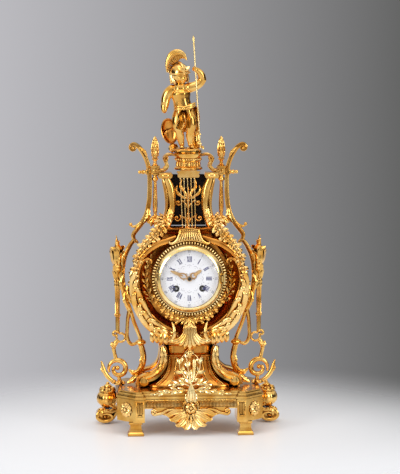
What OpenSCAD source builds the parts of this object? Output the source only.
// Mantel clock in gilt bronze, shaped as a lyre, with an eight-day striking movement.
// The front faces -Y and the clock stands on z = 0. All sizes are in millimetres.

/* [Base] */
// Half width of the plinth between its side walls
side_x = 116; // [112:1:120]
// Height of the top of the plinth
base_top = 70; // [68:1:72]
// Height of the front feet
foot_h = 22; // [20:1:24]
// Distance from the middle plane to the front of the corner blocks
block_front = 80; // [78:1:84]
// Distance from the middle plane to the back of the plinth
base_back = 60; // [56:1:64]

/* [Lyre] */
// Height of the top of the pedestal
pedestal_top = 141; // [139:1:143]
// Half width of the lyre body at its widest
lyre_half = 85; // [82:1:87]
// Height of the lyre body's shoulders, where the neck starts
neck_foot = 326; // [324:1:328]
// Height of the top of the neck arms
neck_top = 413; // [411:1:415]
// Distance of the side columns from the centre line
column_x = 53; // [52:0.5:54]

/* [Dial and case] */
// Height of the centre of the dial
dial_z = 245; // [244:1:246]
// Radius of the dial that shows inside the bezel
dial_r = 46.4; // [45:0.2:47]
// Outer radius of the drum that holds the movement
drum_r = 50; // [49.6:0.1:50.4]
// Outer radius of the gadrooned ring
ring_r = 60; // [59:0.5:61]
// Distance of each winding square from the centre line
wind_x = 21; // [20.8:0.1:21.4]
// Distance of the winding squares below the centre of the dial
wind_drop = 16; // [15.8:0.1:16.4]

/* [Figure] */
// Height of the tip of the spear
spear_tip = 630; // [624:1:634]
// Height of the ground under the figure's feet
figure_ground = 451; // [450:1:453]

/* [Hands and pendulum] */
// Angle of the minute hand, clockwise from twelve
minute_angle = 293.4; // [0:0.1:360]
// Angle of the hour hand, clockwise from twelve
hour_angle = 54.5; // [0:0.1:360]
// Length of the minute hand
minute_len = 34; // [32:0.5:37]
// Length of the hour hand
hour_len = 25; // [23:0.5:27]
// Distance from the pendulum's pivot to the centre of its bob
pendulum_len = 97; // [94:1:98]

/* [Hidden] */
$fn = 48;

// The middle plane of the lyre lies a little behind the middle of the whole depth
mid_y = (block_front - base_back) / 2;
gilt = "#d9a441";
burnished = "#c9832b";
pale_gilt = "#ecc878";
brass = "#c9a64e";
steel = "#8b8f94";
black_cloth = "#120c0a";
enamel = "#f4f3ee";
running = 0.05;

// Every piece is drawn about the middle plane of the lyre and placed here, in its own colour
module placed(tint) color(tint) translate([0, mid_y, 0]) children();

// Draws its children about the centre of the dial: x to the right, y up, z towards the viewer
module dial_frame(x = 0, z = 0) translate([x, 0, dial_z + z]) rotate([90, 0, 0]) children();

// Draws a shape on the right, and its mirror image on the left
module both() { children(); mirror([1, 0, 0]) children(); }

// A smooth curve through every knot, with n steps between two knots
function smooth(k, n = 6) = [
    for (i = [0 : len(k) - 2], s = [0 : n - 1])
        let (t = s / n, a = k[max(i - 1, 0)], b = k[i], c = k[i + 1], d = k[min(i + 2, len(k) - 1)])
        0.5 * (2 * b + (c - a) * t + (2 * a - 5 * b + 4 * c - d) * t * t
            + (3 * b - a - 3 * c + d) * t * t * t),
    k[len(k) - 1]];

// A spiral about c, from radius r0 at angle a0 to radius r1 at angle a1
function volute(c, r0, r1, a0, a1, n) = [
    for (i = [0 : n]) let (t = i / n, a = a0 + (a1 - a0) * t, r = r0 + (r1 - r0) * t)
        [c[0] + r * cos(a), c[1] + r * sin(a)]];

// The same path in space, drawn in the upright plane at depth y
function upright(p, y = 0) = [for (q = p) [q[0], y, q[1]]];

function unit(v) = v / max(norm(v), 1e-9);
function travel(p, i) = unit(p[min(i + 1, len(p) - 1)] - p[max(i - 1, 0)]);
function mix(a, b, t) = a + (b - a) * t;

// A closed solid through rings of equal count, each ring anticlockwise about the way it travels
module skin(rings) {
    m = len(rings[0]);
    last = len(rings) - 1;
    faces = concat(
        [[for (j = [0 : m - 1]) j]],
        [for (i = [0 : last - 1], j = [0 : m - 1]) let (k = (j + 1) % m)
            each [[i * m + j, (i + 1) * m + j, (i + 1) * m + k], [i * m + j, (i + 1) * m + k, i * m + k]]],
        [[for (j = [m - 1 : -1 : 0]) last * m + j]]);
    polyhedron([for (r = rings) each r], faces, convexity = 10);
}

// A bar swept along a path: its half width and half depth at the start and the end
module rib(path, w, d, out = [0, -1, 0], sides = 6) {
    last = len(path) - 1;
    skin([for (i = [0 : last])
        let (t = travel(path, i), s = unit(cross(out, t)), o = unit(cross(t, s)), u = i / last,
            a = mix(w[0], w[1], u), b = mix(d[0], d[1], u))
        [for (j = [0 : sides - 1]) let (q = 360 * (j + 0.5) / sides) path[i] + s * a * cos(q) + o * b * sin(q)]]);
}

// A leaf swept along a path: thin edges, a ridge in front, widest at the middle of its length
module blade(path, w, t, out = [0, -1, 0]) {
    last = len(path) - 1;
    skin([for (i = [0 : last])
        let (v = travel(path, i), s = unit(cross(out, v)), o = unit(cross(v, s)), u = i / last,
            g = 0.12 + 0.88 * pow(sin(180 * min(1, 0.1 + 0.88 * u)), 0.8), a = w * g, b = t * g)
        [path[i] + s * a, path[i] + o * b, path[i] - s * a, path[i] - o * b * 0.5]]);
}

// A closed outline from its right half, listed from the bottom to the top
function closed(half) = concat(half, [for (i = [len(half) - 1 : -1 : 0]) [-half[i][0], half[i][1]]]);

// Plan of the plinth, drawn in by d, anticlockwise from above
block_in = 73;
block_out = 88;
fascia_front = block_front - 7;
cant_y = 52;
function plan(d, blocks = true) =
    let (f = -fascia_front + d, b = -block_front + d,
        half = concat(
            blocks ? [[block_in + d, f], [block_in + d, b], [block_out - 0.4 * d, b]] : [[block_in, f]],
            blocks ? [[side_x - d, -cant_y + 0.4 * d]] : [[block_in, -30], [side_x - d, -30]],
            [[side_x - d, base_back - 14 - 0.4 * d], [side_x - 14 - 0.4 * d, base_back - d]]))
    concat(half, [for (i = [len(half) - 1 : -1 : 0]) [-half[i][0], half[i][1]]]);

// Heights in the plinth: lower edge of the fascia, top of the walls
fascia_low = 43;
slab_z = base_top - 12;
slab_lip = 1.5;

// Plinth: a hollow casting with a moulded top, a reeded fascia between the blocks and open below
reed_pitch = 2.4;
reeds = floor(2 * (block_in - 4) / reed_pitch);
module base_plinth() placed(gilt) {
    difference() {
        union() {
            for (s = [[0, 1.4, 0.5], [1.4, 4.4, -slab_lip], [4.4, 5.8, 0.6], [5.8, 9.4, 2], [9.4, 12, 4]])
                translate([0, 0, slab_z + s[0]]) linear_extrude(s[1] - s[0]) polygon(plan(s[2]));
            translate([0, 0, fascia_low]) linear_extrude(slab_z - fascia_low) polygon(plan(0, false));
            translate([0, -fascia_front, fascia_low + 3]) linear_extrude(9) polygon(concat(
                [for (i = [0 : 2 * reeds]) [-(block_in - 4) + i * reed_pitch / 2, i % 2 == 0 ? 0 : -1]],
                [[block_in - 4, 1], [-block_in + 4, 1]]));
        }
        translate([-block_in + 5, -fascia_front + 6, fascia_low - 1])
            cube([2 * block_in - 10, fascia_front + base_back - 12, base_top - fascia_low - 5]);
        translate([-side_x + 6, -24, fascia_low - 1])
            cube([2 * side_x - 12, base_back + 8, base_top - fascia_low - 5]);
        for (x = [-26, 26], y = [-14, 16]) translate([x, y, base_top - 12]) cylinder(r = 2.1, h = 20);
    }
}

// Corner blocks: panelled blocks with a canted outer face, each on a flared foot
module corner_block() {
    foot_x = 87;
    foot_y = -66;
    difference() {
        translate([0, 0, foot_h]) linear_extrude(slab_z - foot_h) polygon([[block_in, -30],
            [block_in, -block_front], [block_out, -block_front], [side_x, -cant_y], [side_x, -30]]);
        translate([block_in + 3, -block_front - 1, foot_h + 9]) cube([block_out - block_in - 6, 4, 20]);
    }
    skin([for (s = [[0, 12.5], [4, 12.2], [6, 10.4], [12, 9], [18, 8.6], [19, 10.2], [foot_h, 10.4]])
        [for (c = [[-1, -1], [1, -1], [1, 1], [-1, 1]]) [foot_x + c[0] * s[1], foot_y + c[1] * s[1],
            s[0]]]]);
}
module corner_blocks() placed(gilt) both() corner_block();

// Side consoles: a cushion lobe, a drawn-in neck and a scroll foot that carries the back of the clock
console_y = [18, 50];
module side_console() {
    outline = concat(
        smooth([[side_x, 53], [127, 59], [141, 57], [147.6, 49], [142, 41], [132, 37], [127, 32], [131, 27],
            [140, 25.5], [147, 19], [147.5, 10], [142, 2.5], [134, 0]], 5),
        smooth([[126, 0], [119, 4], [side_x, 12], [side_x, 22]], 4));
    translate([0, console_y[1], 0]) rotate([90, 0, 0]) linear_extrude(console_y[1] - console_y[0])
        difference() {
            polygon(outline);
            translate([137, 12]) circle(r = 4.5);
        }
    for (y = [console_y[0] - 1, console_y[1] + 1]) translate([137, y, 12])
        rotate([90, 0, 0]) cylinder(r = 6.5, h = 4, center = true);
}
module side_consoles() placed(gilt) both() side_console();

// Apron: an acanthus pendant under the fascia, with a curled tip at each end and room for the rosette
rosette_r = 10.5;
rosette_z = fascia_low + 1;
module front_apron() placed(pale_gilt) difference() {
    half = concat([[0, 12]], smooth([[5, 8], [10, 7.5], [22, 16], [31, 24], [39, 30.5], [50, 34], [60, 36],
        [63, 40]], 4), [[61, fascia_low], [0, fascia_low]]);
    union() {
        translate([0, -fascia_front + 5, 0]) rotate([90, 0, 0]) linear_extrude(5)
            polygon(closed([for (i = [0 : len(half) - 2]) half[i]]));
        both() for (i = [0 : 4]) let (x = 8 + i * 10)
            blade(smooth([[x * 0.35, -fascia_front, 39], [x * 0.7, -fascia_front - 1.5, 30 + i],
                [x, -fascia_front, 14 + i * 4.6]], 3), 4.5, 3.4);
    }
    translate([0, -fascia_front - 1, rosette_z]) rotate([90, 0, 0]) cylinder(r = rosette_r, h = 20);
}

// Rosettes: a boss with eight petals, one on the fascia and one on each canted face
module rosette(r) {
    rotate_extrude() polygon([[0, 0], [r * 0.75, 0], [r * 0.75, 1.5], [r * 0.3, 2.2], [r * 0.2, 4.4],
        [0, 5]]);
    for (a = [0 : 45 : 315]) rotate([0, 0, a]) translate([r * 0.62, 0, 0]) intersection() {
        sphere(r = r * 0.34, $fn = 24);
        translate([-r, -r, 0]) cube(2 * r);
    }
}
module base_rosettes() placed(pale_gilt) {
    translate([0, -fascia_front - 1, rosette_z]) rotate([90, 0, 0]) rosette(rosette_r);
    both() translate([(block_out + side_x) / 2, -(block_front + cant_y) / 2, 41])
        rotate([90, 0, atan2(block_front - cant_y, side_x - block_out)]) rosette(12);
}

// A rounded rectangle of half sizes a and b at height z
function cushion(a, b, z, n = 24) = [for (i = [0 : n - 1]) let (q = 360 * i / n, c = cos(q), s = sin(q))
    [a * sign(c) * pow(abs(c), 0.5), b * sign(s) * pow(abs(s), 0.5), z]];

// Pedestal: a waisted body with a frieze, on four scrolled legs of one casting
module pedestal() placed(burnished) {
    h = pedestal_top - base_top;
    skin([for (s = [[0, 70, 42], [5, 68, 41], [12, 56, 36], [22, 47, 32], [35, 42, 28], [47, 40, 26.5],
        [49, 42, 29.5], [53, 42, 29.5], [55, 39, 26], [66, 39, 26], [67.5, 42, 29], [h, 43, 30]])
        cushion(s[1], s[2], base_top + s[0])]);
    leg = smooth([[43, 133], [41, 120], [42, 107], [49, 96], [60, 88], [71, 84]], 4);
    both() for (y = [-25, 25]) translate([0, y, 0]) rotate([90, 0, 0]) {
        linear_extrude(22, center = true) polygon(concat(
            [for (i = [0 : len(leg) - 1]) let (v = travel(leg, i)) leg[i] + 7 * [-v[1], v[0]]],
            [for (i = [len(leg) - 1 : -1 : 0]) let (v = travel(leg, i)) leg[i] - 7 * [-v[1], v[0]]]));
        translate([72, base_top + 10, 0]) cylinder(r = 10, h = 24, center = true);
    }
}

// Egg collar: a moulded ring with a row of eggs between the pedestal and the lyre
collar_top = 149;
module egg_collar() placed(gilt) {
    skin([for (s = [[0, 47, 31], [1.5, 50, 33], [4, 51.5, 34.5], [6.5, 50, 33], [collar_top - pedestal_top,
        46, 30]])
        cushion(s[1], s[2], pedestal_top + s[0])]);
}

// Trophy: laurel and oak sprays that fall from the pedestal over the plinth, with a leaf drop
module front_trophy() placed(pale_gilt) {
    spine = smooth([[0, -33, 119], [0, -37, 112], [0, -45, 101], [0, -58, 88], [0, -70, 79], [0, -76, 70]],
        3);
    rib(spine, [4, 3], [3, 3]);
    translate([0, -66, base_top]) cylinder(r1 = 9, r2 = 5, h = 9);
    for (i = [1 : 5], side = [-1, 1]) {
        p = spine[i * 2 + 1];
        blade(smooth([p, p + [side * 9, -3, 4], p + [side * (13 + i), -1, 12 - i]], 3), 4.2, 3,
            [0, -0.8, 0.6]);
    }
    for (side = [-1, 1], i = [0 : 4]) blade(smooth([[side * (2 + i * 10), -66, base_top + 2.4],
        [side * (12 + i * 10), -68, base_top + 4.5], [side * (23 + i * 10), -72, base_top + 2.6]], 3),
        5.5, 3, [0, -0.4, 0.9]);
    blade(smooth([[0, -76, 80], [0, -78.4, 70], [0, -79, 60], [0, -77, 53]], 4), 8, 2.2);
}

// Centre palmette: a fluted fan between two scrolls, over the joint of pedestal and lyre
module centre_palmette() placed(pale_gilt) {
    for (a = [-60 : 20 : 60]) blade(smooth([[0, -36, 132], [14 * sin(a), -40, 132 + 16 * cos(a)],
        [26 * sin(a), -38.5, 134 + 29 * cos(a)]], 4), 4.4, 3.4);
    both() rib(upright(volute([24, 144], 7, 2, -150, 250, 12), -37.5), [2.6, 1.2], [3, 2.4]);
    translate([0, -30, 131]) rotate([90, 0, 0]) cylinder(r1 = 10, r2 = 6, h = 10);
}

// Nuts and washers under the plinth, on the rods that draw the pedestal down
module base_nuts() placed(steel) for (x = [-26, 26], y = [-14, 16]) {
    translate([x, y, base_top - 7 + 1]) mirror([0, 0, 1]) {
        cylinder(r = 6, h = 1);
        translate([0, 0, 1]) cylinder(r = 4.2, h = 3.4, $fn = 6);
        translate([0, 0, -6]) cylinder(r = 2, h = 12.8);
    }
}

// Outline of the lyre body, from its lowest point round to its flat top
lyre_low = collar_top;
lyre_w = lyre_half / 85;
lyre_edge = closed(concat([for (q = smooth([[0, lyre_low], [22, lyre_low + 0.5], [46 * lyre_w, 159],
    [66 * lyre_w, 178], [79.5 * lyre_w, 205], [lyre_half, 235], [83 * lyre_w, 262], [73 * lyre_w, 285],
    [60, 302], [51, 314], [47, neck_foot]], 3)) [q[0], max(q[1], lyre_low)]], [[24, neck_foot]]));
lyre_loop = [for (i = [1 : len(lyre_edge) - 2]) lyre_edge[i]];
lyre_heart = [0, 238];
lyre_front = -30;
lyre_back = 31;

// The outline at depth y, drawn in by d towards the heart of the lyre
function ring_at(d, y) = [for (q = lyre_loop) let (p = q + d * unit(lyre_heart - q)) [p[0], y, p[1]]];

// Lyre body: a deep shell with a burnished, sloping inside and a back wall bored for the drum
module lyre_body() placed(burnished) difference() {
    skin([ring_at(10, lyre_back), ring_at(4, 22), ring_at(0, 10), ring_at(0, lyre_front + 2),
        ring_at(1.5, lyre_front)]);
    skin([ring_at(17, lyre_back - 5), ring_at(12, 8), ring_at(8, -16), ring_at(5.5, lyre_front - 1)]);
    dial_frame() translate([0, 0, -lyre_back - 1]) cylinder(r = drum_r, h = 10);
}

// Garlands: fruit and berries that lie on the shoulders, flat where they meet the body
module garlands() placed(pale_gilt) both() {
    line = smooth([[43, 332], [50, 320], [60, 309], [72, 294], [80, 276]], 2);
    translate([0, lyre_front, 0]) rotate([90, 0, 0]) {
        linear_extrude(2) polygon(concat(
            [for (i = [0 : len(line) - 1]) let (v = travel(line, i)) line[i] - 7 * [-v[1], v[0]]],
            [for (i = [len(line) - 1 : -1 : 0]) let (v = travel(line, i)) line[i] + 7 * [-v[1], v[0]]]));
        for (i = [0 : len(line) - 1], k = [-1, 1])
            let (v = travel(line, i), c = line[i] + 3.9 * k * [-v[1], v[0]])
            translate([c[0], c[1], 2]) intersection() {
                sphere(r = 3.5 + 0.3 * ((i + k) % 2), $fn = 24);
                translate([-5, -5, -1]) cube(10);
            }
    }
}

// Acanthus: long leaves that sweep from under the lyre up its sides and curl away at their tips
module acanthus_leaves() placed(pale_gilt) both() {
    tips = [[50, 161, 68, 160], [64, 174, 83, 178], [75, 192, 92, 197], [82, 212, 97, 218],
        [85, 233, 98, 240], [85, 252, 95, 262]];
    difference() {
        translate([0, 8, 0]) rotate([90, 0, 0]) linear_extrude(8 - lyre_front + 5) polygon(concat(
            smooth([[20, lyre_low], [47, 155], [68, 171], [84, 196], [91, 225], [90, 250], [84, 268]], 4),
            smooth([[80, 268], [81.5, 240], [76, 208], [62, 180], [44, 164], [20, 154]], 4)));
        translate([0, 9, 0]) rotate([90, 0, 0]) linear_extrude(9 - lyre_front) polygon(lyre_loop);
    }
    for (s = tips) blade(smooth([[s[0], lyre_front - 3.5, s[1] - 4],
        [mix(s[0], s[2], 0.4), lyre_front - 8, s[1]], [mix(s[0], s[2], 0.8), lyre_front - 7, s[3] + 3],
        [s[2], lyre_front - 2, s[3] + 9]], 2), 5.5, 3);
}

// Laurel sprays crossed under the dial
module dial_laurel() placed(gilt) {
    for (side = [1, -1], a = [8 : 9 : 62]) let (r = ring_r + 2.6, q = 270 + side * a, y = -31.5) {
        c = [r * cos(q), r * sin(q)];
        u = [cos(q + side * 62), sin(q + side * 62)];
        w = [cos(q + side * 10), sin(q + side * 10)];
        for (v = [u, w]) translate([0, 0, dial_z])
            blade([[c[0], y, c[1]], [c[0] + v[0] * 7, y - 2.5, c[1] + v[1] * 7 - 1],
                [c[0] + v[0] * 13, y, c[1] + v[1] * 13 - 2]], 2.6, 1.6);
    }
    r = ring_r + 1.7;
    translate([0, 0, dial_z])
        rib([for (a = [-64 : 8 : 64]) [r * sin(a), -32.5, -r * cos(a)]], [1.6, 1.6], [1.6, 1.6]);
}

// Neck arms: two curved uprights that bend towards each other at half height, with a cap on each
arm_in = smooth([[29, neck_foot], [23.5, 346], [21.5, 368], [25, 391], [31, 406], [31, neck_top - 4]], 5);
arm_out = smooth([[46, neck_top - 4], [41.5, 399], [37, 384], [36, 368], [38, 348], [46.5, neck_foot]], 5);
arm_depth = 13;
module neck_arms() placed(gilt) both() {
    neck_arm();
    translate([0, 1 - arm_depth, 0]) rotate([90, 0, 0]) linear_extrude(3) polygon(concat(
        [for (p = arm_in) [p[0] + 1.5, p[1]]],
        [for (i = [len(arm_in) - 1 : -1 : 0]) [arm_in[i][0] + 7, arm_in[i][1]]]));
    translate([27, -arm_depth - 1, neck_top - 4]) cube([19.9, 2 * arm_depth + 2, 4]);
}

// Neck panel: a board under black cloth, behind the openwork
module neck_panel() placed(black_cloth) translate([-33, arm_depth, neck_foot + 0.5])
    cube([66, 2, neck_top - neck_foot - 5]);

// Fret: an openwork of scrolls about a central rod
module neck_fret() placed(gilt) {
    y = 1;
    rib([[0, y, neck_foot], [0, y, 345], [0, y, 366], [0, y, 388]], [1.5, 1.1], [1.4, 1.2]);
    both() for (s = [[12, 341, 7], [12.4, 358, 6.6]])
        rib(upright(concat(volute([s[0], s[1]], 1.8, s[2], 420, 120, 11), [[1.2, s[1] - 8]]), y),
            [1, 1.2], [1.2, 1.2]);
    both() for (s = [[14, 384, 17], [10, 392, 25]])
        blade([[1, y, 369], [s[0] * 0.6, y - 1, s[1] - 8], [s[0], y, s[1] + 8]], 2.6, 1.4);
}

// String bar: the moulded rail that the strings hang from, under the entablature
bar_z = 405;
module string_bar() placed(gilt) {
    translate([0, 2, 0]) rotate([90, 0, 0]) linear_extrude(12) polygon(closed([[16, bar_z],
        [17.5, bar_z + 1.5],
        [17.5, bar_z + 5], [16.5, bar_z + 6], [18, bar_z + 8], [18, bar_z + 9]]));
    translate([-13, -8, bar_z + 9]) cube([26, 8, 3]);
}

// Strings: five drawn wires from the bar to the palmette over the dial
string_top = [-13, -7.3, -1.6, 4, 9.5];
module strings() placed(pale_gilt) for (i = [0 : 4]) {
    foot = [-9.5 + i * 5.2, -5, neck_foot + 0.1];
    head = [string_top[i], -5, bar_z];
    v = head - foot;
    translate(foot) rotate([0, acos(v[2] / norm(v)) * sign(v[0]), 0])
        cylinder(r = 0.75, h = norm(v) - 0.05, $fn = 16);
}

// Entablature: a turned drum with a fluted frieze and a row of beads
drum_foot = 417;
module entablature() placed(gilt) difference() {
    union() {
        translate([0, 0, drum_foot]) rotate_extrude() polygon(concat([[0, 0], [19, 0], [19, 3.5], [17, 5]],
            [[16.8, 13], [18.5, 14.5], [18.5, 19], [20, 20.5], [22.4, 23.5], [22.4, 26], [20.5, 27],
                [22, 29.2], [0, 29.2]]));
        for (a = [7 : 15 : 352]) rotate([0, 0, a])
            translate([18.3, 0, drum_foot + 16.7]) sphere(r = 1.6, $fn = 16);
    }
    for (a = [7 : 15 : 352]) rotate([0, 0, a])
        translate([17.8, 0, drum_foot + 6.5]) cylinder(r = 1.4, h = 5.5, $fn = 16);
}

// Brackets: four concave consoles from the entablature's rim down to the caps of the neck arms
module top_brackets() placed(gilt) difference() {
    for (y = [-11, 9]) both() translate([0, y + 2, 0]) rotate([90, 0, 0]) linear_extrude(5)
        polygon(let (c = smooth([[17, 441], [28, 439.5], [31.5, 434], [31, 427], [36, 420], [47, 414.6]], 4))
            concat([for (i = [0 : len(c) - 1]) let (v = travel(c, i)) c[i] + 2.1 * [v[1], -v[0]]],
                [for (i = [len(c) - 1 : -1 : 0]) let (v = travel(c, i)) c[i] - 2.1 * [v[1], -v[0]]]));
    translate([0, 0, 400]) cylinder(r = 22.42, h = 60);
    translate([-60, -20, neck_top - 10]) cube([120, 40, 10]);
}

// Top palmette: a fluted fan over the bezel, at the foot of the strings
module top_palmette() placed(pale_gilt) {
    for (a = [-56 : 16 : 56]) blade(smooth([[13 * sin(a), -35, 306], [19 * sin(a), -39, 313],
        [17 * sin(a), -33, 325 + 2 * cos(a)]], 4), 3, 2.4);
    both() blade([[2, -33, 309], [16, -37, 309.5], [30, -34, 305]], 3.4, 3);
    translate([-22, -32.4, 306]) cube([44, 2.2, 18]);
}

// Plinth of the figure: rocky ground on the entablature
module figure_plinth() placed(gilt) {
    h = figure_ground - drum_foot - 29.2;
    skin([for (s = [[0, 24, 19], [h * 0.4, 26, 20], [h * 0.75, 23, 17], [h, 19, 14]])
        [for (i = [0 : 19]) let (q = 18 * i, k = 1 + 0.05 * sin(5 * q))
            [-3 + s[1] * k * cos(q), s[2] * k * sin(q), drum_foot + 29.2 + s[0]]]]);
    translate([13, 5, figure_ground - 1]) cylinder(r1 = 6.5, r2 = 4.5, h = 29, $fn = 20);
    translate([-25.2, 9, drum_foot + 29.2]) cylinder(r1 = 5.5, r2 = 4, h = 11.7, $fn = 20);
}

// Figure: a standing child in a plumed helmet, cast solid, with one arm raised to the spear
module limb(a, b) hull() {
    translate([a[0], a[1], a[2]]) sphere(r = a[3], $fn = 10);
    translate([b[0], b[1], b[2]]) sphere(r = b[3], $fn = 10);
}
module chain(p) for (i = [0 : len(p) - 2]) limb(p[i], p[i + 1]);
module putto_figure() placed(gilt) {
    chain([[-7, 0, 512, 11.5], [-10, -1, 522, 12.5], [-13, 0, 538, 13]]);
    chain([[-24, 0, 545, 6], [-5, 0, 548, 6.4], [3, -1, 548, 6.6], [24, 0, 559, 4.4], [11.5, -3, 576,
        3.4]]);
    chain([[-24, 0, 545, 6], [-35, 0, 539, 6.6], [-41, -3, 523, 5.2], [-38, -6, 514, 4]]);
    chain([[-13, 0, 506, 10], [-17, -4, 488, 8.2], [-12, -3, 470, 5.6], [-10, -3, 455, 3.8],
        [-9, -9, 453.85, 3]]);
    chain([[0, 0, 506, 10], [4, -5, 487, 8.2], [3, -2, 469, 5.6], [4, -2, 455, 3.8], [5, -8, 453.85, 3]]);
    chain([[-13, -1, 550, 5], [-12.5, -2, 566, 10.6]]);
    hull() for (q = [[-12.5, 0, 572, 11.4], [-14, 2, 566, 11.6]])
        translate([q[0], q[1], q[2]]) sphere(r = q[3], $fn = 18);
    chain([[-4, -2, 582, 2.4], [-3, -3, 588, 2]]);
    chain([[-31, 4, 575, 3], [-33, 3, 586, 4], [-29, 2, 595, 4.6], [-20, 1, 601, 4.6], [-10, 0, 601, 3.6],
        [-4, 0, 597, 2]]);
    chain([[-14, 1, 582, 2], [-18, 1, 598, 3]]);
    chain([[-19, 1, 505, 8], [4, 1, 505, 9], [10, 2, 498, 5]]);
}

// Shield: a hollow oval that leans behind the figure's leg
module shield() placed(burnished) translate([-29.5, 9, 478]) rotate([0, -12, 0]) rotate([90, 0, 0])
    skin([for (s = [[-3, 3, 6], [-2, 10, 16], [1, 13, 20.5], [3, 12, 19.5], [1.6, 9.5, 15.5], [0.6, 3, 5]])
        [for (i = [0 : 27]) let (q = 360 * i / 28) [s[1] * cos(q), s[2] * sin(q), s[0]]]]);

// Spear: a plain rod with a small leaf point, held in the raised hand
module spear() placed(pale_gilt) {
    foot = [19, -7.6, figure_ground + 0.4];
    v = [8 - foot[0], 0, spear_tip - foot[2]];
    translate(foot) rotate([0, atan2(v[0], v[2]), 0]) {
        cylinder(r = 1.3, h = norm(v) - 16);
        translate([0, 0, norm(v) - 16]) rotate_extrude() polygon([[0, -1], [1.6, -1], [2.1, 3], [1.1, 9],
            [0, 16]]);
    }
}

// Outer arms: scrolled bars that bow in beside the columns and out round the body
rod_z = 413;
arm_foot = 186;
torch_x = 114;
torch_ring_r = 7.4;
arm_line = concat(volute([85.5, 454], 1.8, 5.2, 450, 90, 9), smooth([[78, 454], [70.5, 440], [64, 424],
    [62.5, 408], [61.6, 390], [62.8, 366], [67.4, 346], [77, 330], [86.5, 312], [94, 297], [100.4, 283],
    [104.4, 266], [105.6, 247], [103, 222], [98, 202], [92, 186]], 2));
module outer_arm() difference() {
    union() {
        rib(upright(arm_line), [2.4, 3.4], [3.4, 4.4]);
        rib(upright(smooth([[76, 331], [84, 325.5], [91, 326], [93.5, 330]], 4)), [2.6, 2.4], [3.4, 2.6]);
        rib(upright(smooth([[104, 230], [101, 208], [93, 190], [86, 186]], 4)), [4, 2], [5, 3]);
    }
    translate([40, 0, rod_z]) rotate([0, 90, 0]) cylinder(r = 2.5 + running, h = 60);
    translate([torch_x, 0, 250]) cylinder(r = torch_ring_r, h = 16);
    translate([60, -20, arm_foot - 20]) cube([60, 40, 20]);
}
module outer_arm_left() placed(gilt) mirror([1, 0, 0]) outer_arm();
module outer_arm_right() placed(gilt) outer_arm();

// Columns: turned balusters on a leafy bracket, each with a square capital block
block_half = 6;
module neck_arm() translate([0, arm_depth, 0]) rotate([90, 0, 0]) linear_extrude(2 * arm_depth)
    polygon(concat(arm_in, arm_out));
module column() {
    translate([column_x, 0, 0]) rotate_extrude() polygon([[0, 340], [4.6, 340], [4.6, 343], [2.6, 345],
        [3.4, 352], [3.9, 362], [3.2, 378], [2.4, 396], [2.4, 399], [4.6, 401], [4.6, 405], [3.2, 407],
        [3.2, 410], [0, 410]]);
    difference() {
        translate([column_x - block_half, -block_half, 409]) cube([2 * block_half, 2 * block_half, 12]);
        translate([40, 0, rod_z]) rotate([0, 90, 0]) cylinder(r = 2.5, h = 60);
    }
    translate([column_x, 0, 421]) rotate_extrude() polygon([[0, 0], [7.2, 0], [7.2, 2], [0, 2]]);
    difference() {
        union() {
            for (s = [-1, 1]) blade(smooth([[column_x, -1, 342], [column_x + s * 7, -2, 336],
                [column_x + s * 12.5, -1, 341]], 3), 4.2, 5);
            translate([38, -3, 334]) cube([column_x - 38, 6, 7]);
        }
        neck_arm();
    }
}
module column_left() placed(gilt) mirror([1, 0, 0]) column();
module column_right() placed(gilt) column();

// Pine cones: turned finials on the capital blocks
module pine_cones() placed(pale_gilt) both() translate([column_x, 0, 423]) rotate_extrude() polygon(concat(
    [[0, 0], [4.8, 0], [4.8, 2], [2.6, 4], [2.6, 8], [5, 10], [5, 12], [3.6, 13]],
    smooth([[5, 17], [6.6, 24], [6, 32], [3.6, 41]], 4), [[0, 46]]));

// Yoke rods: turned pins that fasten the outer arms to the capital blocks
module yoke_rods() placed(gilt) both() translate([column_x - 1, 0, rod_z]) rotate([0, 90, 0]) {
    cylinder(r = 2.5, h = 17);
    translate([0, 0, 14]) rotate_extrude() polygon([[0, 0], [4, 0.5], [4, 3], [2.6, 4], [3.4, 6.5],
        [2, 8.5], [2.6, 11], [1.4, 13.5], [0, 14.5]]);
}

// Torches: fluted, tapering shafts with a ringed cup and a flame
module torch() translate([torch_x, 0, 0]) {
    rotate_extrude() polygon([[0, 158], [3, 158], [3, 180], [4.6, 181], [4.6, 184], [3.2, 185], [4.3, 229],
        [5, 231], [5, 239], [4.6, 241], [6, 254], [torch_ring_r, 257], [torch_ring_r, 262], [6, 264],
        [7.4, 276], [6.6, 288], [3.6, 300], [0, 313]]);
    for (a = [0 : 72 : 288]) blade([[4 * cos(a), 4 * sin(a), 262], [8.6 * cos(a), 8.6 * sin(a), 274],
        [7.6 * cos(a), 7.6 * sin(a), 286], [9 * cos(a + 25), 9 * sin(a + 25), 296]], 3.2, 2,
        [cos(a), sin(a), 0]);
}
module torch_left() placed(gilt) mirror([1, 0, 0]) torch();
module torch_right() placed(gilt) torch();

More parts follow.
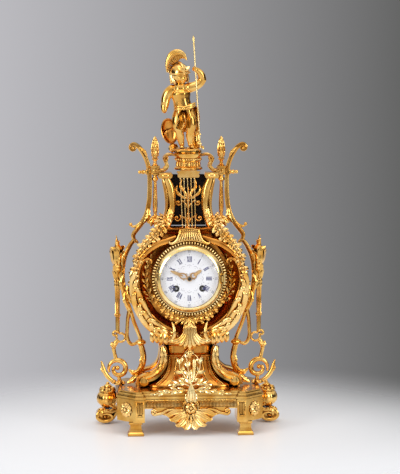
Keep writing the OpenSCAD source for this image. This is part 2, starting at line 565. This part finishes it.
// Lower brackets: openwork scrolls that carry the torches and outer arms down to the plinth
module lower_bracket() difference() {
    union() {
        rib(upright(smooth([[94, 187], [96, 172], [97, 156], [99, 148], [96, 139], [91, 134],
            [84, 136.5]], 2)), [3, 2], [3.4, 2.6]);
        rib(upright(smooth([[92, 185], [86, 165], [80, 152], [77, 142]], 3)), [2.6, 2.8], [3, 3]);
        rib(upright(smooth([[75.5, 134], [73.4, 118], [75.4, 102], [80, 89], [88, 78],
            [98, base_top + 1.5]], 2)), [3.6, 4.2], [4, 4.6]);
        translate([77, 0, 133]) rotate_extrude() polygon([[0, 0], [5, 0], [8.5, 2.5], [9.5, 6], [6, 9],
            [0, 9]]);
        rib(upright(concat([[99, 149]], volute([116, 147], 11, 5.6, 200, 500, 13))), [2.4, 2.2], [3, 2.4]);
        translate([torch_x, 0, 151]) cylinder(r = 4, h = 7);
        rib(upright(smooth([[120, 137], [120, 122], [117, 108]], 2)), [2.8, 3], [3, 3]);
        rib(upright(volute([111, 97], 13, 3, 70, -390, 18)), [3, 2], [3.6, 2.6]);
        rib(upright(smooth([[140, 107], [137, 97], [131, 86], [122, 78], [112, base_top + 2]], 2)),
            [2.2, 3.4], [2.6, 3.6]);
        rib(upright([[113, 87], [112, 80], [111, base_top + 2]]), [3, 3.6], [3.4, 4]);
        translate([110, 0, base_top]) cylinder(r1 = 5.4, r2 = 4.4, h = 3);
    }
    translate([60, -20, base_top - 20]) cube([100, 40, 20]);
    translate([60, -20, arm_foot]) cube([100, 40, 20]);
}
module lower_bracket_left() placed(gilt) mirror([1, 0, 0]) lower_bracket();
module lower_bracket_right() placed(gilt) lower_bracket();

// Drum: the brass case that holds the movement, flanged in front for the dial
drum_back = 46;
dial_seat = 31.4;
rear_hinge_x = 52.8;
rear_hinge_f = -48;
knuckle_r = 1.9;
pin_r = 0.8;
lugs = [-9, 5];
module drum_case() placed(brass) dial_frame() difference() {
    union() {
        translate([0, 0, -drum_back]) rotate_extrude() polygon([[drum_r - 1.2, 0], [drum_r, 0],
            [drum_r, drum_back + dial_seat], [43.5, drum_back + dial_seat],
            [43.5, drum_back + dial_seat - 1.5], [drum_r - 1.2, drum_back + dial_seat - 1.5]]);
        for (y = lugs) translate([49, y, 0.3 - drum_back]) cube([rear_hinge_x - 47.6, 4, 6]);
        for (y = lugs) translate([50.6, y, rear_hinge_f]) cube([rear_hinge_x - 49.2, 4, 3]);
        for (y = lugs) translate([rear_hinge_x, y, rear_hinge_f])
            rotate([-90, 0, 0]) cylinder(r = knuckle_r, h = 4);
    }
    translate([-9, -drum_r - 5, -21]) cube([18, 12, 11]);
    translate([rear_hinge_x, -20, rear_hinge_f]) rotate([-90, 0, 0]) cylinder(r = pin_r, h = 40);
}

// Gadrooned ring: the fixed surround of the bezel, with the lugs of the bezel's hinge
hinge_x = 55.4;
hinge_f = 42.4;
module gadroon_ring() placed(pale_gilt) dial_frame() difference() {
    union() {
        rotate_extrude() polygon([[drum_r, 30.2], [ring_r - 1, 30.2], [ring_r, 31.5], [ring_r, 35],
            [ring_r - 3, 38], [53.4, 38], [53.4, 33.6], [drum_r, 33.6]]);
        for (a = [0 : 6 : 354]) rotate([0, 0, a])
            translate([ring_r - 2.2, 0, 36]) sphere(r = 2.3, $fn = 16);
        for (y = lugs) translate([hinge_x - 1, y, 36]) cube([2.6, 4, hinge_f - 36]);
        for (y = lugs) translate([hinge_x, y, hinge_f]) rotate([-90, 0, 0]) cylinder(r = knuckle_r, h = 4);
    }
    translate([hinge_x, -20, hinge_f]) rotate([-90, 0, 0]) cylinder(r = pin_r, h = 40);
    translate([hinge_x - 3, lugs[0] + 3.9, 38.01]) cube([6, lugs[1] - lugs[0] - 3.8, 6]);
}

// Bezel: a stepped ring that opens on a hinge at three o'clock and carries the glass
module bezel() placed(pale_gilt) dial_frame() difference() {
    union() {
        rotate_extrude() polygon([[dial_r + 2, 34], [52.6, 34], [53, 35], [53, 38.5], [51, 41], [49, 42],
            [47.6, 42], [dial_r, 40.8], [dial_r, 39], [dial_r + 2, 39]]);
        translate([50.4, lugs[0] + 4.3, 38.6]) cube([hinge_x - 50.4, lugs[1] - lugs[0] - 4.6, 3.4]);
        translate([hinge_x, lugs[0] + 4.3, hinge_f]) rotate([-90, 0, 0])
            cylinder(r = knuckle_r, h = lugs[1] - lugs[0] - 4.6);
        translate([-55.5, -2.5, 38.2]) cube([4, 5, 2]);
    }
    translate([hinge_x, -20, hinge_f]) rotate([-90, 0, 0]) cylinder(r = pin_r + running, h = 40);
}

// Glass of the bezel, seated behind its inner lip
module bezel_glass() placed("#dfe8ea") dial_frame()
    translate([0, 0, 37.2]) cylinder(r = dial_r + 2, h = 1.8);

// Pins of the two hinges, driven into the fixed lugs
module hinge_pins() placed(steel) dial_frame() {
    for (p = [[hinge_x, hinge_f], [rear_hinge_x, rear_hinge_f]]) translate([p[0], lugs[0], p[1]])
        rotate([-90, 0, 0]) cylinder(r = pin_r, h = lugs[1] - lugs[0] + 4);
}

// Dial: white enamel on copper, bored for the hands and the two winding squares
dial_t = 1.6;
wind_hole = 5.2;
module dial() placed(enamel) dial_frame() translate([0, 0, dial_seat]) difference() {
    cylinder(r = dial_r + 1.4, h = dial_t, $fn = 96);
    translate([0, 0, -1]) cylinder(r = 3.4, h = 4);
    for (x = [-wind_x, wind_x]) translate([x, -wind_drop, -1]) cylinder(r = wind_hole, h = 4);
}

// Rear door: a brass cover with sound holes, hinged to the drum's back rim
module rear_door() placed(brass) dial_frame() difference() {
    union() {
        translate([0, 0, -48.6]) cylinder(r = drum_r, h = 2.4);
        translate([-drum_r - 1.5, -3, -48.6]) cube([4, 6, 2.4]);
        translate([48, lugs[0] + 4.3, rear_hinge_f - 0.6])
            cube([rear_hinge_x - 48, lugs[1] - lugs[0] - 4.6, 2.2]);
        translate([rear_hinge_x, lugs[0] + 4.3, rear_hinge_f]) rotate([-90, 0, 0])
            cylinder(r = knuckle_r, h = lugs[1] - lugs[0] - 4.6);
    }
    for (a = [0 : 45 : 315]) rotate([0, 0, a]) translate([28, 0, -50]) cylinder(r = 5, h = 5);
    translate([rear_hinge_x, -20, rear_hinge_f]) rotate([-90, 0, 0]) cylinder(r = pin_r + running, h = 40);
}

// Hands: pierced and gilt, turned to the time that the dial shows at rest
hour_f = 34.2;
minute_f = 35.4;
hand_t = 0.6;
module hand_shape(l, w) difference() {
    polygon(closed(smooth([[1.2, -6], [2.6, -3], [3.2, 3], [1.6, 5], [w, l * 0.34], [w * 0.9, l * 0.5],
        [1, l * 0.62], [1.7, l * 0.72], [0.7, l * 0.84], [0.15, l]], 3)));
    for (s = [-1, 1]) translate([s * w * 0.5, l * 0.41]) circle(r = w * 0.32);
}
module minute_hand() placed(pale_gilt) dial_frame() translate([0, 0, minute_f])
    rotate([0, 0, -minute_angle]) linear_extrude(hand_t) difference() {
        union() { hand_shape(minute_len, 2.8); circle(r = 3.4); }
        circle(r = 1.2);
    }
module hour_hand() placed(pale_gilt) dial_frame() {
    translate([0, 0, hour_f]) rotate([0, 0, -hour_angle]) linear_extrude(hand_t) difference() {
        union() { hand_shape(hour_len, 3.8); circle(r = 4); }
        circle(r = 2.6);
    }
    translate([0, 0, hour_wheel_f]) difference() {
        union() {
            linear_extrude(1.2) wheel_shape(hour_teeth, hour_m, 270 + 180 / hour_teeth, 4, 1.2);
            cylinder(r = 2.7, h = hour_f + hand_t - hour_wheel_f);
        }
        translate([0, 0, -1]) cylinder(r = 1.6 + running, h = 20);
    }
}

// Teeth of a wheel of n teeth and module m, with the middle of one tooth at the given phase
function teeth(n, m, phase) = let (r = n * m / 2, tip = r + 0.92 * m, root = r - 1.15 * m, p = 360 / n)
    [for (i = [0 : n - 1], k = [[-0.27, root], [-0.1, tip], [0.1, tip], [0.27, root]])
        let (a = phase + p * (i + k[0])) [k[1] * cos(a), k[1] * sin(a)]];

// A crossed-out wheel: a toothed rim, five arms and a hub of radius hub
module wheel_shape(n, m, phase, hub, rim) {
    inner = n * m / 2 - 1.15 * m - rim;
    difference() {
        polygon(teeth(n, m, phase));
        circle(r = inner);
    }
    circle(r = hub);
    for (a = [0 : 72 : 288]) rotate([0, 0, a])
        translate([hub - 0.5, -0.6]) square([inner - hub + 0.9, 1.2]);
}

// Motion work between the front plate and the dial: cannon pinion, minute wheel and hour wheel
cannon_teeth = 12;
cannon_m = 0.5;
minute_teeth = 36;
minute_pinion = 10;
hour_teeth = 40;
hour_m = cannon_m * (cannon_teeth + minute_teeth) / (minute_pinion + hour_teeth);
motion_gap = cannon_m * (cannon_teeth + minute_teeth) / 2;
hour_wheel_f = 28.2;
plate_f = 22;
plate_t = 2;
stud_r = 1.2;
module minute_wheel() placed(brass) dial_frame(0, -motion_gap) difference() {
    union() {
        translate([0, 0, plate_f + plate_t + 1.3]) linear_extrude(1.4)
            wheel_shape(minute_teeth, cannon_m, 90 + 180 / minute_teeth, 3, 1.2);
        translate([0, 0, plate_f + plate_t + 2.6]) linear_extrude(3.1)
            polygon(teeth(minute_pinion, hour_m, 90));
    }
    cylinder(r = stud_r + running, h = 60);
}

// Going train: barrel, intermediate, centre, third and escape wheels, with the places of their arbors
barrel_teeth = 60;
barrel_m = 0.5;
mid_pinion = 12;
mid_teeth = 60;
mid_m = 0.4;
centre_pinion = 10;
centre_teeth = 80;
fine_m = 0.3;
third_pinion = 7;
third_teeth = 72;
escape_pinion = 6;
escape_teeth = 42;
escape_r = 7.5;
to_barrel = barrel_m * (barrel_teeth + mid_pinion) / 2;
to_mid = mid_m * (mid_teeth + centre_pinion) / 2;
to_third = fine_m * (centre_teeth + third_pinion) / 2;
to_escape = fine_m * (third_teeth + escape_pinion) / 2;
wind_gap = norm([wind_x, wind_drop]);
mid_along = (to_mid * to_mid - to_barrel * to_barrel + wind_gap * wind_gap) / (2 * wind_gap);
mid_aside = sqrt(to_mid * to_mid - mid_along * mid_along);
mid_at = [(mid_along * wind_x + mid_aside * wind_drop) / wind_gap,
    (mid_aside * wind_x - mid_along * wind_drop) / wind_gap];
third_at = [-5, sqrt(to_third * to_third - 25)];
escape_at = [0, third_at[1] + sqrt(to_escape * to_escape - 25)];
pallet_at = [0, escape_at[1] + escape_r * sqrt(2)];
hammer_at = [-30, 12];
function bearing(a, b) = atan2(b[1] - a[1], b[0] - a[0]);
back_f = -8;
pivot_r = 0.8;
arbor_r = 1.1;

// An arbor between the plates, thinned to its pivots, left out from f0 to f1 where its pinion is cut
module arbor(f0, f1) {
    translate([0, 0, back_f + 0.1]) cylinder(r = pivot_r, h = 3);
    translate([0, 0, back_f + 2.3]) cylinder(r = arbor_r, h = f0 - back_f - 2.3);
    translate([0, 0, f1]) cylinder(r = arbor_r, h = plate_f - 0.3 - f1);
    translate([0, 0, plate_f - 1]) cylinder(r = pivot_r, h = 2.9);
}
module intermediate_wheel() placed(brass) dial_frame() translate(mid_at) {
    arbor(3, 7);
    translate([0, 0, 2.9]) linear_extrude(4.2)
        polygon(teeth(mid_pinion, barrel_m, bearing(mid_at, [wind_x, -wind_drop]) + 180 / mid_pinion));
    linear_extrude(1.5) wheel_shape(mid_teeth, mid_m, bearing(mid_at, [0, 0]), 2.6, 1.2);
}
module centre_arbor() placed(brass) dial_frame() {
    translate([0, 0, back_f + 0.1]) cylinder(r = pivot_r, h = 3);
    translate([0, 0, back_f + 2.3]) cylinder(r = 1.2, h = 4);
    translate([0, 0, -1]) linear_extrude(3.5)
        polygon(teeth(centre_pinion, mid_m, bearing([0, 0], mid_at) + 180 / centre_pinion));
    translate([0, 0, -4]) linear_extrude(1.5) wheel_shape(centre_teeth, fine_m, bearing([0, 0], third_at),
        2.6, 1);
    translate([0, 0, -2.5]) cylinder(r = 1.2, h = 2);
    translate([0, 0, 2.5]) cylinder(r = 1.5, h = plate_f + plate_t - 1.5);
    translate([0, 0, plate_f + plate_t + 1]) linear_extrude(2) polygon(teeth(cannon_teeth, cannon_m, 270));
    translate([0, 0, plate_f + plate_t + 1]) cylinder(r = 1.6, h = minute_f - plate_f - plate_t - 1);
    translate([0, 0, minute_f - 0.1]) cylinder(r = 1.2, h = 1.3);
}
module third_wheel() placed(brass) dial_frame() translate(third_at) {
    arbor(-4.5, -2);
    translate([0, 0, -4.6]) linear_extrude(2.7)
        polygon(teeth(third_pinion, fine_m, bearing(third_at, [0, 0]) + 180 / third_pinion));
    translate([0, 0, 12]) linear_extrude(1.2) wheel_shape(third_teeth, fine_m, bearing(third_at, escape_at),
        2.4, 1);
}
module escape_wheel() placed(brass) dial_frame() translate(escape_at) {
    arbor(11.4, 13.8);
    translate([0, 0, 11.3]) linear_extrude(2.6)
        polygon(teeth(escape_pinion, fine_m, bearing(escape_at, third_at) + 180 / escape_pinion));
    translate([0, 0, 8]) linear_extrude(1) {
        difference() {
            polygon([for (i = [0 : escape_teeth - 1], k = [[0, escape_r], [0.25, escape_r - 1.3]])
                let (a = 360 * (i + k[0]) / escape_teeth) [k[1] * cos(a), k[1] * sin(a)]]);
            circle(r = escape_r - 2.4);
        }
        circle(r = 2.2);
        for (a = [0 : 90 : 270]) rotate([0, 0, a]) translate([2, -0.5]) square([escape_r - 4, 1]);
    }
}

// Barrels: toothed drums with the mainsprings inside, free on their winding arbors
axle_r = 3;
module barrel(side) dial_frame(side * wind_x, -wind_drop) difference() {
    union() {
        translate([0, 0, 4]) linear_extrude(2)
            polygon(teeth(barrel_teeth, barrel_m, side > 0 ? bearing([wind_x, -wind_drop], mid_at) : 0));
        translate([0, 0, 5.9]) rotate_extrude() polygon([[0, 0], [13.6, 0], [13.6, 12], [13, 13], [6, 13],
            [5, 14], [0, 14]]);
    }
    cylinder(r = axle_r + running, h = 60);
}
module going_barrel() placed(brass) barrel(1);
module strike_barrel() placed(brass) barrel(-1);

// Winding arbors: each ends in a square behind its hole in the dial
module winding_arbor(side) dial_frame(side * wind_x, -wind_drop) {
    translate([0, 0, back_f + 0.1]) cylinder(r = 1.6, h = 2.5);
    translate([0, 0, back_f + 2.3]) cylinder(r = axle_r, h = plate_f - back_f - 2.6);
    translate([0, 0, plate_f - 1]) cylinder(r = 2.5, h = 4);
    translate([-1.7, -1.7, plate_f + 2]) cube([3.4, 3.4, 9]);
}
module going_arbor() placed(steel) winding_arbor(1);
module strike_arbor() placed(steel) winding_arbor(-1);

// Plates: the front one stands on three feet behind the dial, the back one carries the pillars
front_r = 46.4;
back_r = 42;
pillars = [60, 120, 270, 354, 186];
module bores(f, centre_r, axle) {
    translate([0, 0, f - 1]) cylinder(r = centre_r, h = 4);
    for (x = [-wind_x, wind_x]) translate([x, -wind_drop, f - 1]) cylinder(r = axle + running, h = 4);
    for (p = [mid_at, third_at, escape_at])
        translate([p[0], p[1], f - 1]) cylinder(r = pivot_r + running, h = 4);
}
module front_plate() placed(brass) dial_frame() {
    difference() {
        translate([0, 0, plate_f]) cylinder(r = front_r, h = plate_t);
        bores(plate_f, 1.5 + running, 2.5);
        for (p = [pallet_at, hammer_at])
            translate([p[0], p[1], plate_f - 1]) cylinder(r = pivot_r + running, h = 4);
    }
    for (a = [90, 210, 330]) rotate([0, 0, a]) translate([44.9, 0, plate_f + plate_t])
        cylinder(r = 1.4, h = dial_seat - 1.5 - plate_f - plate_t);
    translate([0, -motion_gap, plate_f + plate_t - 0.5]) cylinder(r = stud_r, h = 6.6);
}
module back_plate() placed(brass) dial_frame() {
    difference() {
        translate([0, 0, back_f]) cylinder(r = back_r, h = plate_t);
        bores(back_f, pivot_r + running, 1.6);
        for (p = [pallet_at, hammer_at])
            translate([p[0], p[1], back_f - 1]) cylinder(r = arbor_r + running, h = 4);
    }
    for (a = pillars) rotate([0, 0, a]) translate([38, 0, back_f + plate_t - 0.2]) rotate_extrude()
        polygon([[0, 0], [3, 0], [3, 2], [2.1, 4], [2.6, 14], [2.1, 24], [3, 26],
            [3, plate_f - back_f - plate_t + 0.2], [0, plate_f - back_f - plate_t + 0.2]]);
    translate([-4, pallet_at[1] + 3.4, back_f - 10.5]) cube([8, 4, 10.6]);
}

// Pallets: the anchor between the plates, its arbor and the crutch behind the back plate
module pallets() placed(steel) dial_frame() translate(pallet_at) {
    translate([0, 0, back_f - 3.4]) cylinder(r = arbor_r, h = plate_f - back_f + 3.1);
    translate([0, 0, plate_f - 1]) cylinder(r = pivot_r, h = 2.9);
    translate([0, 0, 7.6]) linear_extrude(1.8) {
        circle(r = 2);
        for (s = [-1, 1]) polygon([[s * 1, 1.2], [s * 6.6, -3.6], [s * 7.4, -5.7], [s * 6.2, -5.1],
            [s * 5.6, -3.2], [s * 1, -1]]);
    }
    translate([-0.9, -24, back_f - 3.4]) cube([1.8, 24, 1.2]);
    for (s = [-1, 1]) translate([s * 2.2 - 0.6, -24, back_f - 9]) cube([1.2, 2, 6.8]);
    translate([-2.8, -24, back_f - 3.4]) cube([5.6, 2, 1.2]);
}

// Pendulum: a rod and a lenticular bob with a rating nut, hung by a short spring under the back cock
pendulum_f = -15.5;
module pendulum() placed(brass) dial_frame() translate([pallet_at[0], pallet_at[1], pendulum_f]) {
    translate([-2.2, -4, -1.5]) cube([4.4, 6.6, 3]);
    translate([-0.15, 2.5, -1.5]) cube([0.3, 0.88, 3]);
    rotate([90, 0, 0]) cylinder(r = 1, h = pendulum_len + 15);
    translate([0, -pendulum_len, 0])
        rotate_extrude() polygon([[0, -3], [5, -3], [11.6, -1.3], [11.6, 1.3], [5, 3], [0, 3]]);
    translate([0, -pendulum_len - 13, 0]) rotate([90, 0, 0]) cylinder(r = 2.4, h = 2.4, center = true);
}

// Hammer: an arbor through both plates, an arm and a head beside the bell's lip
bell_at = [0, 2];
bell_r = 30;
hammer_head = [-26.8, 24.5];
module hammer() placed(steel) dial_frame() {
    translate([hammer_at[0], hammer_at[1], back_f - 11]) cylinder(r = arbor_r, h = plate_f - back_f + 10.7);
    translate([hammer_at[0], hammer_at[1], plate_f - 1]) cylinder(r = pivot_r, h = 2.9);
    translate([hammer_at[0], hammer_at[1], back_f - 11]) rotate([0, 0, bearing(hammer_at, hammer_head)])
        translate([0, -1, 0]) cube([norm(hammer_head - hammer_at), 2, 1.4]);
    translate([hammer_head[0], hammer_head[1], back_f - 20]) cylinder(r = 3, h = 10);
    translate([hammer_at[0], hammer_at[1], 9])
        rotate([0, 0, -60]) translate([0, -0.8, 0]) cube([8, 1.6, 1.4]);
}

// Bell: a turned steel bell, mouth forward, on a stand that is screwed to the back plate
bell_lip = -22;
bell_deep = 21;
stand_at = [33, -20];
module bell() placed(steel) dial_frame() {
    translate([bell_at[0], bell_at[1], bell_lip]) mirror([0, 0, 1]) rotate_extrude() polygon(concat(
        [for (a = [0 : 10 : 90]) [bell_r * cos(a), bell_deep * sin(a)]],
        [for (a = [90 : -10 : 0]) [(bell_r - 1.5) * cos(a), (bell_deep - 1.5) * sin(a)]]));
    translate([stand_at[0], stand_at[1], bell_lip - bell_deep - 1.6]) cylinder(r = 1.6,
        h = back_f - bell_lip + bell_deep + 1.6);
    translate([bell_at[0], bell_at[1], bell_lip - bell_deep - 1.6])
        rotate([0, 0, bearing(bell_at, stand_at)]) translate([0, -2.5, 0]) cube([norm(stand_at - bell_at), 5, 1.7]);
    translate([bell_at[0], bell_at[1], bell_lip - bell_deep - 2.4]) cylinder(r = 3, h = 1.2);
}

base_plinth();
corner_blocks();
side_consoles();
front_apron();
base_rosettes();
pedestal();
egg_collar();
front_trophy();
centre_palmette();
base_nuts();
lyre_body();
garlands();
acanthus_leaves();
dial_laurel();
neck_arms();
neck_panel();
neck_fret();
string_bar();
strings();
entablature();
top_brackets();
top_palmette();
figure_plinth();
putto_figure();
shield();
spear();
outer_arm_left();
outer_arm_right();
column_left();
column_right();
pine_cones();
yoke_rods();
torch_left();
torch_right();
lower_bracket_left();
lower_bracket_right();
drum_case();
gadroon_ring();
bezel();
bezel_glass();
hinge_pins();
dial();
rear_door();
minute_hand();
hour_hand();
minute_wheel();
centre_arbor();
front_plate();
back_plate();
going_barrel();
strike_barrel();
going_arbor();
strike_arbor();
intermediate_wheel();
third_wheel();
escape_wheel();
pallets();
pendulum();
hammer();
bell();
